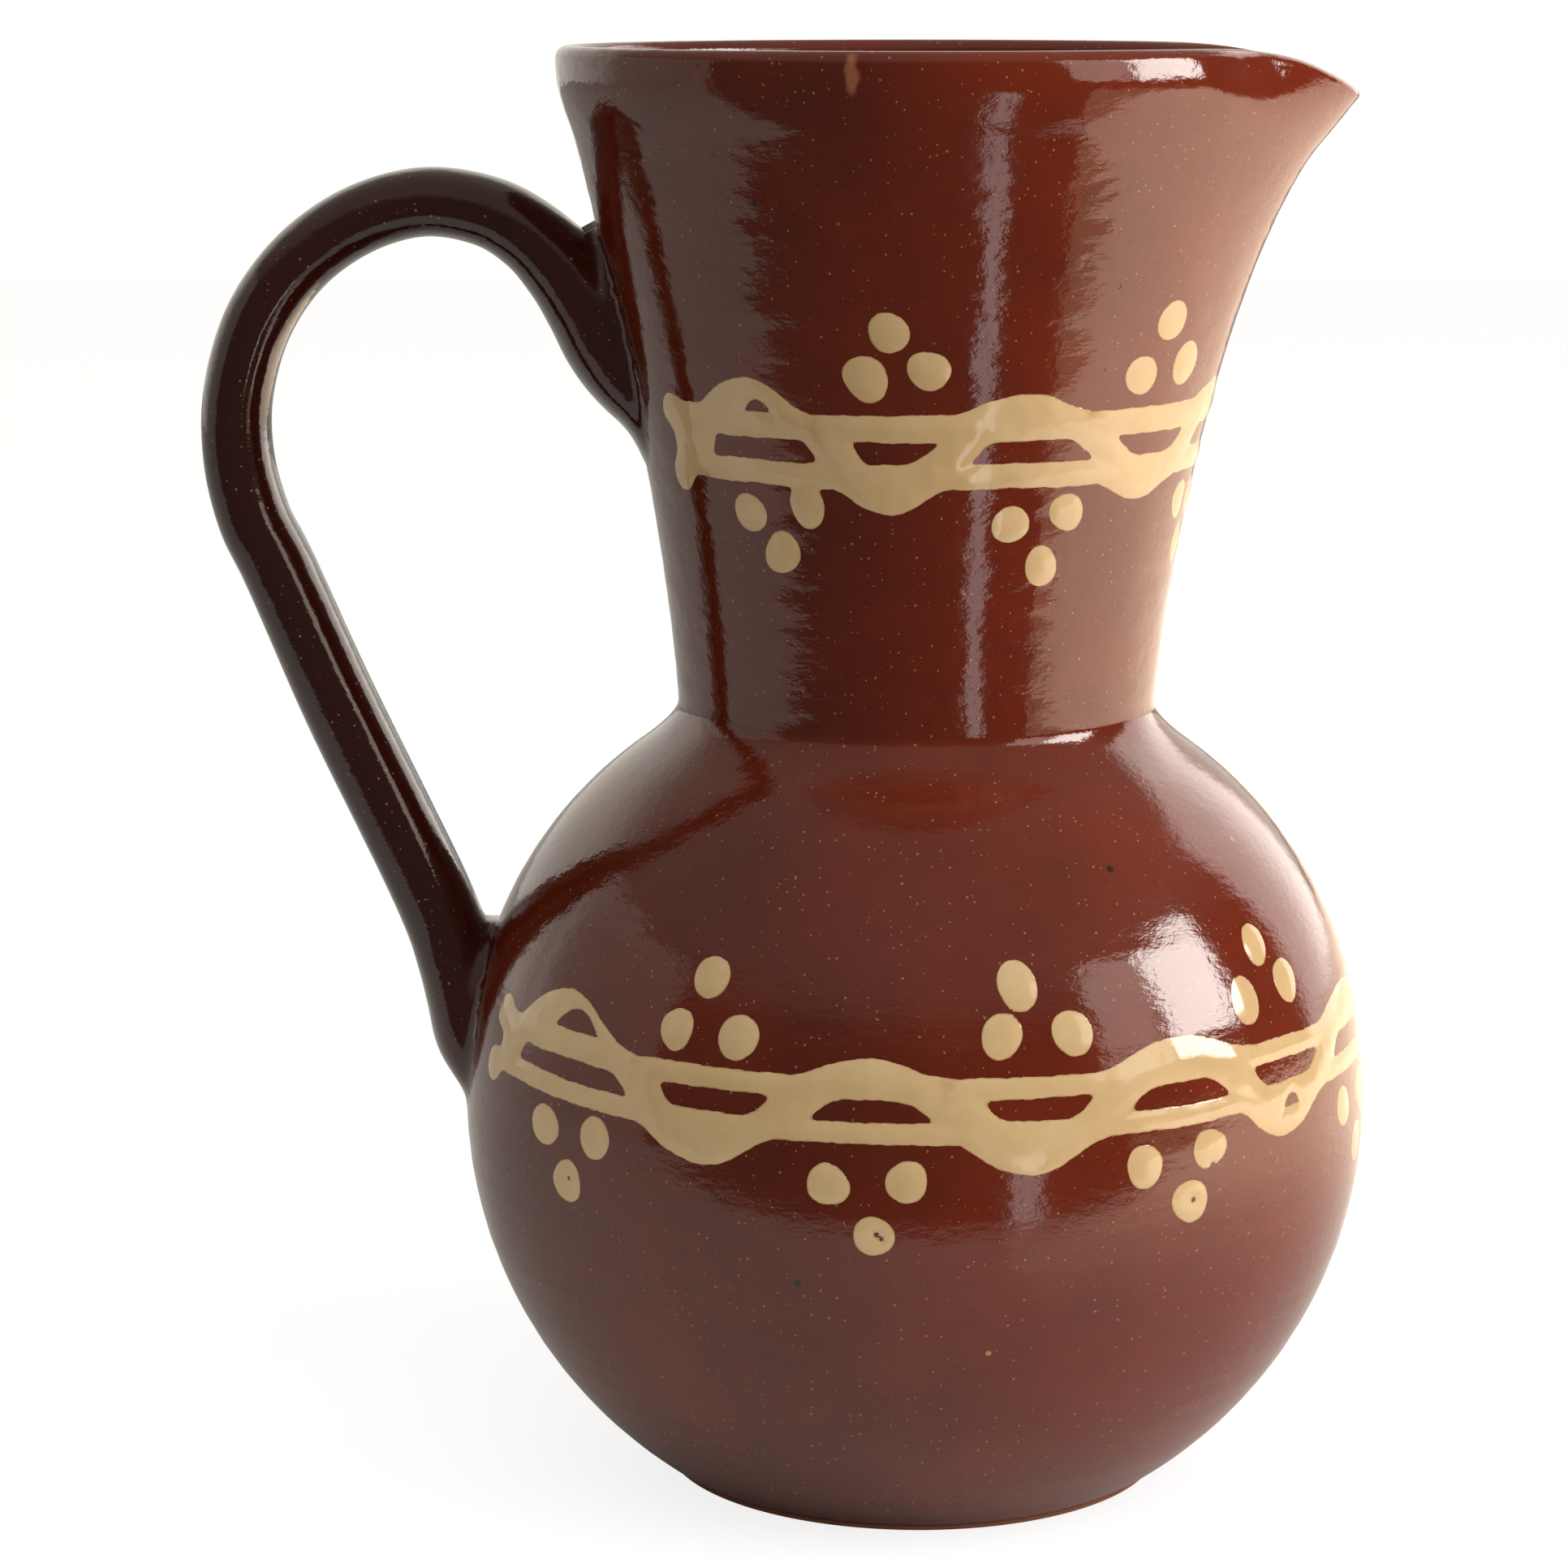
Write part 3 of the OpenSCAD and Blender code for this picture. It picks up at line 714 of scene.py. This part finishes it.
glazeLook = {
    "dark": (0.086, 0.0104, 0.0030),
    "warm": (0.200, 0.0225, 0.0052),
    "clouds": 28,
    "paintedLightTowardsSpout": 3.5,    # painted light: the glaze colour turns warmer towards the spout's side, where the window light falls
    "cloudRange": (0.05, 0.95),
    "iron": (0.012, 0.006, 0.004),
    "speck": (0.46, 0.25, 0.10),
    # how many per metre, size, softness and strength
    "fineSpecks": (760, 0.19, 0.05, 0.65),
    "goldSpecks": (390, 0.072, 0.03, 0.7),
    "ironSpecks": (60, 0.035, 0.015, 0.9),
    # single marks: angle, height, radius in millimetres
    "ironMarks": [[-125.9, 233.5, 0.7], [-119.4, 225.8, 0.75], [-105.5, 53.7, 0.8],
                  [-60.3, 117.6, 0.8], [20.0, 60.0, 0.7], [75.0, 212.0, 0.6],
                  [140.0, 95.0, 0.7]],
    "tanMarks": [[-82.3, 41.7, 0.6], [-30.0, 118.0, 0.5], [60.0, 40.0, 0.6]],
    "markPatches": 900,
    "markRagged": 0.5,
    "markEdge": (0.8, 1.25),
    "run": [-101.6, 246.3, 1.3, 4.2],   # an orange run below the rim: angle, height, half sizes
    "runRagged": (500, 1.2),
    "runEdge": (0.9, 1.7),
    "runShare": 0.75,
    "clay": (0.42, 0.15, 0.075),
    "bareFoot": (0.0008, 0.0012),       # the clay is bare up to here, metres
    "bareRoughness": 0.8,
    "swell": 0.00026,       # depths in metres, as are the next three
    "ripple": 0.000065,
    "grain": 0.000004,
    "pit": 0.00006,
}

# the glaze is given darker colours on the handle
handleLook = {**glazeLook, "dark": (0.032, 0.0048, 0.0028), "warm": (0.080, 0.0085, 0.0040)}

slipLook = {
    "cream": (0.73, 0.50, 0.25),
    "pale": (0.78, 0.555, 0.295),
    "clouds": 140,
    "thin": (0.40, 0.17, 0.045),    # where the slip thins out at its edge
    "thinRange": (-0.3, 0.32),
    "thinPatches": 500,
    "thinRagged": 0.5,
    "smear": (0.50, 0.27, 0.11),    # where one stroke was dragged over another
    "smearStreaks": 380,
    "smearShare": 0.6,
    "swell": 0.00015,
    "ripple": 0.00003,
    "grain": 0.000004,
    "pit": 0.00004,
}


# Short ways to build the nodes of a material, a lamp or the world
class Tree:
    def __init__(self, owner, place="Object"):
        owner.use_nodes = True
        self.owner = owner
        self.nodes, self.links = owner.node_tree.nodes, owner.node_tree.links
        self.place = self.add("TexCoord").outputs[place] if place else None

    def add(self, kind, **settings):
        node = self.nodes.new("ShaderNode" + kind)
        for name, value in settings.items():
            setattr(node, name, value)
        return node

    def put(self, socket, value):
        if isinstance(value, bpy.types.NodeSocket):
            self.links.new(value, socket)
        else:
            socket.default_value = value

    def stretch(self, scale):
        node = self.add("Mapping")
        self.put(node.inputs["Vector"], self.place)
        self.put(node.inputs["Scale"], scale)
        return node.outputs[0]

    def noise(self, scale, detail=3.0, roughness=0.5, place=None):
        node = self.add("TexNoise")
        for name, value in (("Vector", place or self.place), ("Scale", scale),
                            ("Detail", detail), ("Roughness", roughness)):
            self.put(node.inputs[name], value)
        return node.outputs["Fac"]

    def math(self, kind, a, b):
        node = self.add("Math", operation=kind)
        self.put(node.inputs[0], a)
        self.put(node.inputs[1], b)
        return node.outputs[0]

    def vector(self, kind, a, b=None):
        node = self.add("VectorMath", operation=kind)
        self.put(node.inputs[0], a)
        if b is not None:
            self.put(node.inputs[1], b)
        return node.outputs["Value" if kind in ("LENGTH", "DISTANCE") else "Vector"]

    def split(self, vector=None):
        node = self.add("SeparateXYZ")
        self.put(node.inputs[0], vector or self.place)
        return node.outputs

    def ramp(self, value, low, high, a=0.0, b=1.0):
        node = self.add("MapRange", interpolation_type="SMOOTHSTEP")
        for name, number in (("Value", value), ("From Min", low), ("From Max", high),
                             ("To Min", a), ("To Max", b)):
            self.put(node.inputs[name], number)
        return node.outputs[0]

    def mix(self, share, a, b):
        node = self.add("Mix", data_type="RGBA")
        self.put(node.inputs[0], share)
        for socket, value in ((node.inputs[6], a), (node.inputs[7], b)):
            self.put(socket, value if isinstance(value, bpy.types.NodeSocket) else (*value, 1))
        return node.outputs[2]

    def attribute(self, name):
        return self.add("Attribute", attribute_name=name).outputs["Fac"]

    # Round specks: the size is a share of the distance between them
    def specks(self, scale, size, softness):
        node = self.add("TexVoronoi")
        self.put(node.inputs["Vector"], self.place)
        self.put(node.inputs["Scale"], scale)
        pick = self.add("SeparateColor")
        self.put(pick.inputs[0], node.outputs["Color"])
        limit = self.math("MULTIPLY", pick.outputs[0], size)
        near = self.math("SUBTRACT", limit, node.outputs["Distance"])
        return self.ramp(near, 0, softness)

    def bump(self, height, distance, before=None):
        node = self.add("Bump")
        self.put(node.inputs["Distance"], distance)
        self.put(node.inputs["Height"], height)
        if before is not None:
            self.put(node.inputs["Normal"], before)
        return node.outputs[0]


def onPot(angle, height):
    return Vector(potSurface(np.array(float(angle)), np.array(float(height)))[0]) * mm


# One spot on the outside of the pot: angle, height and radius
def spotOn(tree, look, ragged, angle, height, radius):
    inner, outer = (radius * share * mm for share in look["markEdge"])
    uneven = tree.math("MULTIPLY", ragged, look["markRagged"] * radius * mm)
    away = tree.vector("DISTANCE", tree.place, onPot(angle, height))
    return tree.ramp(tree.math("ADD", away, uneven), inner, outer, 1.0, 0.0)


# A run of glaze drawn out up and down the pot
def runDown(tree, look, angle, height, halfWidth, halfHeight):
    node = tree.add("Mapping", vector_type="TEXTURE")
    size = (halfWidth * mm, 3 * halfWidth * mm, halfHeight * mm)
    for name, value in (("Location", onPot(angle, height)), ("Scale", size),
                        ("Vector", tree.place)):
        tree.put(node.inputs[name], value)
    patches, share = look["runRagged"]
    uneven = tree.math("MULTIPLY", tree.noise(patches), share)
    away = tree.math("ADD", tree.vector("LENGTH", node.outputs[0]), uneven)
    return tree.ramp(away, *look["runEdge"], look["runShare"], 0.0)


# The glassy skin: gloss, slow swells, ripples, a fine unevenness and a few pinholes
def glazeOver(tree, look, color, bare=None):
    skin = glazeSkin
    shader = tree.nodes["Principled BSDF"]
    tree.put(shader.inputs["Base Color"], color)
    gloss = tree.ramp(tree.noise(skin["glossPatches"]), *noiseRange, *skin["roughness"])
    if bare is not None:
        gloss = tree.math("MAXIMUM", gloss, tree.math("MULTIPLY", bare, look["bareRoughness"]))
    tree.put(shader.inputs["Roughness"], gloss)
    tree.put(shader.inputs["IOR"], skin["ior"])
    onNeck = tree.ramp(tree.split()["Z"], skin["neckFrom"], skin["neckTo"], skin["bellyShare"])
    slow = tree.noise(1.0, 2.0, 0.5, tree.stretch(skin["slow"]))
    wide = tree.noise(1.0, 3.0, 0.6, tree.stretch(skin["wide"]))
    pits = tree.math("MULTIPLY", tree.specks(*skin["pits"]), -1.0)
    normal = tree.bump(tree.math("MULTIPLY", slow, onNeck), look["swell"])
    normal = tree.bump(wide, look["ripple"], normal)
    normal = tree.bump(tree.noise(skin["fine"], 2.0), look["grain"], normal)
    tree.put(shader.inputs["Normal"], tree.bump(pits, look["pit"], normal))


def makeGlaze(name, look):
    tree = Tree(bpy.data.materials.new(name))
    parts = tree.split()

    def scatter(kind):
        scale, size, softness, strength = look[kind]
        return tree.specks(scale, size, softness), strength

    cloud = tree.noise(look["clouds"], 4.0, 0.6)
    # painted light: the X term pushes the mottled glaze towards its warm colour on the spout's
    # side, where the window light falls
    cloud = tree.math("ADD", cloud, tree.math("MULTIPLY", parts["X"], look["paintedLightTowardsSpout"]))
    color = tree.mix(tree.ramp(cloud, *look["cloudRange"]), look["dark"], look["warm"])
    for kind in ("fineSpecks", "goldSpecks"):
        color = tree.mix(tree.math("MULTIPLY", *scatter(kind)), color, look["speck"])
    ragged = tree.noise(look["markPatches"], 2.0)
    for mark in look["tanMarks"]:
        color = tree.mix(spotOn(tree, look, ragged, *mark), color, look["speck"])
    color = tree.mix(runDown(tree, look, *look["run"]), color, look["clay"])
    iron, strength = scatter("ironSpecks")
    for mark in look["ironMarks"]:
        iron = tree.math("MAXIMUM", iron, spotOn(tree, look, ragged, *mark))
    color = tree.mix(tree.math("MULTIPLY", iron, strength), color, look["iron"])
    bare = tree.ramp(parts["Z"], *look["bareFoot"], 1.0, 0.0)
    glazeOver(tree, look, tree.mix(bare, color, look["clay"]), bare)
    return tree.owner


def makeSlipFinish(name, look):
    tree = Tree(bpy.data.materials.new(name))
    cloud = tree.ramp(tree.noise(look["clouds"], 4.0, 0.6), *noiseRange)
    color = tree.mix(cloud, look["cream"], look["pale"])
    streaks = tree.ramp(tree.noise(look["smearStreaks"], 3.0, 0.6), *noiseRange)
    smear = tree.math("MULTIPLY", tree.attribute("smear"), streaks)
    color = tree.mix(tree.math("MULTIPLY", smear, look["smearShare"]), color, look["smear"])
    ragged = tree.noise(look["thinPatches"], 3.0, 0.6)
    uneven = tree.math("MULTIPLY", ragged, look["thinRagged"])
    edge = tree.math("SUBTRACT", tree.attribute("edgeDistance"), uneven)
    thin = tree.ramp(edge, *look["thinRange"], 1.0, 0.0)
    glazeOver(tree, look, tree.mix(thin, color, look["thin"]))
    return tree.owner


glaze = makeGlaze("redBrownGlaze", glazeLook)
handleGlaze = makeGlaze("deepGlaze", handleLook)
cream = makeSlipFinish("creamSlip", slipLook)
for piece, finish, slot, nodes in (
        (jugBody, glaze, "glaze", ["jug"]), (jugHandle, handleGlaze, "glaze", ["jug"]),
        (bellyBand, cream, "slip", ["belly_band", "belly_drops"]),
        (neckBand, cream, "slip", ["neck_band", "neck_drops"])):
    piece.data.materials.append(finish)
    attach(piece, "root")
    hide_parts(*nodes)
print("finishes laid on")

room = {
    "tableFront": -0.24,    # the table's front edge, metres
    "tableBack": 3.0,
    "tableHalfWidth": 1.6,
    "tableColor": (0.88, 0.87, 0.85),
    "tableRoughness": 0.7,
    "tableShare": 0.6,      # how far the camera sees the table as plain white
    "tableGlare": 1.4,
    "backdrop": 1.2,        # the camera sees the wall as plain white
    # brightness of the room that the glaze reflects
    "back": 1.0,
    "ceiling": 0.36,
    "front": 0.11,
    "turnsDark": 0.35,      # how much sooner the back wall ends on the right
    "blend": (0.35, 0.65),
    "air": (1.0, 0.96, 0.86),
}

# lamps: angle from the camera to the right, height, distance, size, brightness and colour;
# the ones that only show as a reflection leave the lighting of the colours to the fill
windows = {
    "leftWindow": {"turn": -93, "rise": 4, "distance": 1.7, "width": 1.6, "height": 1.7,
                   "level": 0.42, "color": (1.0, 0.96, 0.86)},
    "rightWindow": {"turn": 81, "rise": 21.5, "distance": 1.6, "width": 0.74, "height": 0.80,
                    "level": 12.5, "color": (1.0, 0.96, 0.90), "soft": 0.35},
    "curtain": {"turn": 58, "rise": 22, "distance": 1.6, "width": 0.50, "height": 0.78,
                "level": 2.4, "color": (1.0, 0.86, 0.76), "soft": 0.15},
    "edgeStrip": {"turn": 26.5, "rise": -20, "distance": 0.75, "width": 0.10, "height": 0.36,
                  "level": 2.1, "color": (1.0, 0.93, 0.93), "soft": 0.3},
    "rightWall": {"turn": 137, "rise": 17, "distance": 1.6, "width": 1.2, "height": 1.45,
                  "level": 2.3, "color": (1.0, 0.88, 0.81), "soft": 0.3},
}

# daylight lying on the table and the floor on the right, seen only as light; it grows
# with the distance from the jug and is weaker at the back
tableGlow = {
    "outline": [(0.06, -0.205), (0.264, -0.205), (0.70, -0.565), (1.66, -1.31), (2.2, -0.6),
                (2.0, 1.0), (0.9, 1.5), (0.04, 0.9), (0.04, 0.1)],
    "height": 0.002,
    "near": 0.08, "far": 0.40,
    "backFrom": 0.1, "backTo": 0.9, "back": 0.65,
    "level": 0.95,
    "color": (1.0, 0.72, 0.48),
}

# soft fills that light the colours without a reflection of their own
fills = {
    "rightFill": {"turn": 68, "rise": 30, "distance": 1.9, "width": 1.4, "height": 1.4,
                  "level": 3.6, "color": (0.98, 0.97, 0.94)},
    "frontFill": {"turn": 6, "rise": 50, "distance": 1.9, "width": 1.4, "height": 1.4,
                  "level": 1.5, "color": (1.0, 0.98, 0.95)},
}

view = {
    "place": (-0.0231, -0.753, 0.26245),
    "tilt": 10.58,
    "lens": 100.0,
    "sensor": 36.0,
    "side": -91.8,          # the side of the jug that the camera faces, in degrees
    "aim": (0, 0, 0.12),    # the lamps point here
}


def towards(turn, rise, distance):
    # turn 0 is the camera's side, positive to its right
    a, e = math.radians(turn + view["side"]), math.radians(rise)
    flat = math.cos(e)
    return Vector((math.cos(a) * flat, math.sin(a) * flat, math.sin(e))) * distance


# Fades a lamp out over the outer share of its half width
def softenEdges(lamp, share):
    tree = Tree(lamp, None)
    spot = tree.add("NewGeometry").outputs["Parametric"]
    parts = tree.split(tree.vector("ABSOLUTE", tree.vector("SUBTRACT", spot, (0.5, 0.5, 0))))
    strength = 1.0
    for axis in ("X", "Y"):
        edge = tree.ramp(parts[axis], 0.5 * (1 - share), 0.5, 1.0, 0.0)
        strength = tree.math("MULTIPLY", edge, strength)
    tree.put(tree.nodes["Emission"].inputs["Strength"], strength)


def makeLamp(name, look):
    lamp = bpy.data.lights.new(name, "AREA")
    lamp.shape = "RECTANGLE"
    lamp.size, lamp.size_y = look["width"], look["height"]
    lamp.energy = look["level"] * math.pi * look["width"] * look["height"]
    lamp.color = look["color"]
    holder = bpy.data.objects.new(name, lamp)
    aim = Vector(view["aim"])
    holder.location = aim + towards(look["turn"], look["rise"], look["distance"])
    holder.rotation_euler = (aim - holder.location).to_track_quat("-Z", "Y").to_euler()
    if "soft" in look:
        softenEdges(lamp, look["soft"])
    holder.visible_camera = False
    bpy.context.scene.collection.objects.link(holder)
    return holder


# A flat sheet for the set, with its finish
def makeSheet(name, corners, material):
    mesh = bpy.data.meshes.new(name)
    mesh.from_pydata(corners, [], [list(range(len(corners)))])
    mesh.materials.append(material)
    sheet = bpy.data.objects.new(name, mesh)
    bpy.context.scene.collection.objects.link(sheet)
    return sheet


def makeGlow():
    look = tableGlow
    tree = Tree(bpy.data.materials.new("daylight"))
    away = tree.ramp(tree.vector("LENGTH", tree.place), look["near"], look["far"],
                     0, look["level"])
    back = tree.ramp(tree.split()["Y"], look["backFrom"], look["backTo"], 1, look["back"])
    shine, both = tree.add("Emission"), tree.add("AddShader")
    tree.put(shine.inputs["Color"], (*look["color"], 1))
    tree.put(shine.inputs["Strength"], tree.math("MULTIPLY", away, back))
    # clear otherwise, so that it adds to the table's own light
    tree.put(both.inputs[0], shine.outputs[0])
    tree.put(both.inputs[1], tree.add("BsdfTransparent").outputs[0])
    tree.put(tree.nodes["Material Output"].inputs["Surface"], both.outputs[0])
    corners = [(x, y, look["height"]) for x, y in look["outline"]]
    glow = makeSheet("tableGlow", corners, tree.owner)
    glow.visible_camera = False
    glow.visible_shadow = False


def makeTable():
    tree = Tree(bpy.data.materials.new("paleTable"), None)
    shader = tree.nodes["Principled BSDF"]
    glare, blend = tree.add("Emission"), tree.add("MixShader")
    tree.put(shader.inputs["Base Color"], (*room["tableColor"], 1))
    tree.put(shader.inputs["Roughness"], room["tableRoughness"])
    tree.put(glare.inputs["Strength"], room["tableGlare"])
    seen = tree.add("LightPath").outputs["Is Camera Ray"]
    tree.put(blend.inputs[0], tree.math("MULTIPLY", seen, room["tableShare"]))
    tree.put(blend.inputs[1], shader.outputs[0])
    tree.put(blend.inputs[2], glare.outputs[0])
    tree.put(tree.nodes["Material Output"].inputs["Surface"], blend.outputs[0])
    x, front, back = room["tableHalfWidth"], room["tableFront"], room["tableBack"]
    makeSheet("table", [(-x, front, 0), (x, front, 0), (x, back, 0), (-x, back, 0)], tree.owner)


# A dark room with a pale wall behind the jug, which is darker on the right up to the window
def makeWorld():
    world = bpy.data.worlds.new("room")
    bpy.context.scene.world = world
    tree = Tree(world, "Generated")
    parts = tree.split()
    right = tree.math("MULTIPLY", tree.math("MAXIMUM", parts["X"], 0.0), room["turnsDark"])
    wall = tree.math("SUBTRACT", parts["Y"], right)
    behind = tree.ramp(wall, *room["blend"], room["front"], room["back"])
    level = tree.ramp(parts["Z"], *room["blend"], behind, room["ceiling"])
    seen = tree.add("LightPath").outputs["Is Camera Ray"]
    white = tree.math("MULTIPLY", seen, room["backdrop"])
    background = tree.nodes["Background"]
    tree.put(background.inputs["Strength"], tree.math("MAXIMUM", white, level))
    tree.put(background.inputs["Color"], (*room["air"], 1))


def makeCamera():
    camera = bpy.data.cameras.new("camera")
    camera.lens, camera.sensor_width = view["lens"], view["sensor"]
    holder = bpy.data.objects.new("camera", camera)
    holder.location = view["place"]
    holder.rotation_euler = (math.radians(90 - view["tilt"]), 0, 0)
    bpy.context.scene.collection.objects.link(holder)
    bpy.context.scene.camera = holder


makeTable()
makeWorld()
for name, look in windows.items():
    makeLamp(name, look).visible_diffuse = False
makeGlow()
for name, look in fills.items():
    makeLamp(name, look).visible_glossy = False
makeCamera()
bpy.context.scene.view_settings.view_transform = "Standard"
print("room lit, camera placed")
